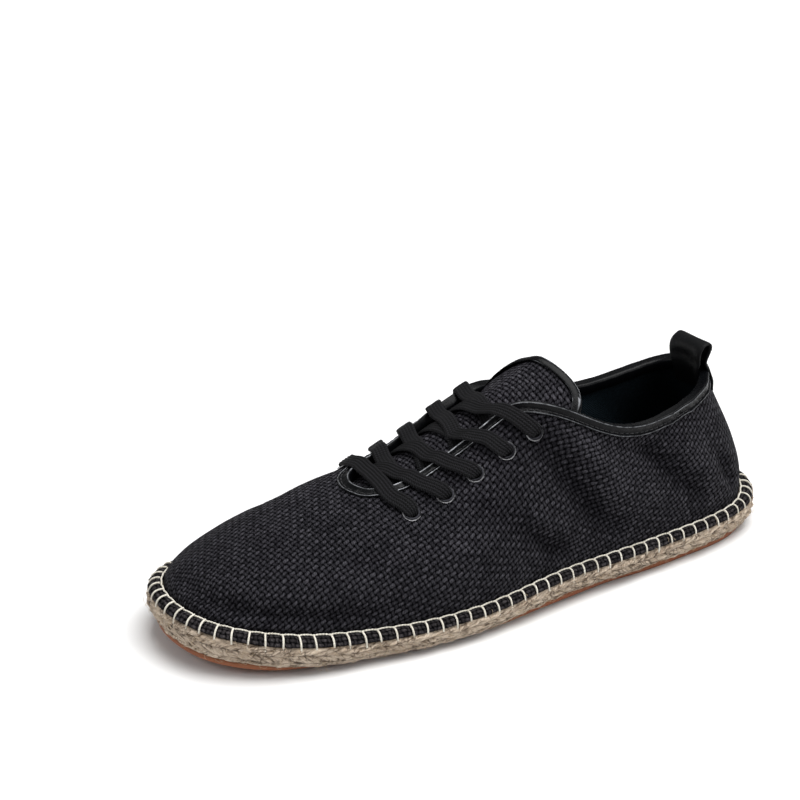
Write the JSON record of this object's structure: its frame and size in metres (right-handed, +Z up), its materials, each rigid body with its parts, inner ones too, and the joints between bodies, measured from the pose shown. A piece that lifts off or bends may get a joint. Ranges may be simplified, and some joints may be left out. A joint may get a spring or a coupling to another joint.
{
  "type": "lace-up espadrille",
  "caption": "Low lace-up espadrille for the left foot: braided sole, woven upper open at the collar, leather trim, tongue and flat laces.",
  "frame": {"origin": "centre of the shoe's outline, on the ground under the outsole", "axes": "+Z up, -Y towards the toe, +X towards the outer side of the left foot"},
  "size_m": [0.1046, 0.2846, 0.0931],
  "materials": {
    "crepe_rubber": "matt crepe, orange brown",
    "jute_braid": "natural braided jute, matt",
    "woven_cloth": "coarse basket weave, charcoal, matt",
    "black_lining": "plain black lining, matt",
    "black_leather": "smooth black, satin",
    "flat_lace": "ribbed flat lace, black, matt",
    "eyelet_metal": "small pale grey rings, satin"
  },
  "bodies": {
    "root": {"collar_binding": "black_leather", "eyelet_in_1": "eyelet_metal", "eyelet_in_2": "eyelet_metal", "eyelet_in_3": "eyelet_metal", "eyelet_in_4": "eyelet_metal", "eyelet_in_5": "eyelet_metal", "eyelet_out_1": "eyelet_metal", "eyelet_out_2": "eyelet_metal", "eyelet_out_3": "eyelet_metal", "eyelet_out_4": "eyelet_metal", "eyelet_out_5": "eyelet_metal", "insole": "black_lining", "lace_bar": "flat_lace", "lace_cross_2": "flat_lace", "lace_cross_3": "flat_lace", "lace_cross_4": "flat_lace", "lace_cross_5": "flat_lace", "midsole": "jute_braid", "outsole": "crepe_rubber", "pull_loop": "black_leather", "tongue": "woven_cloth", "tongue_binding": "black_leather", "upper": "woven_cloth", "welt_band": "woven_cloth"}
  },
  "joints": []
}
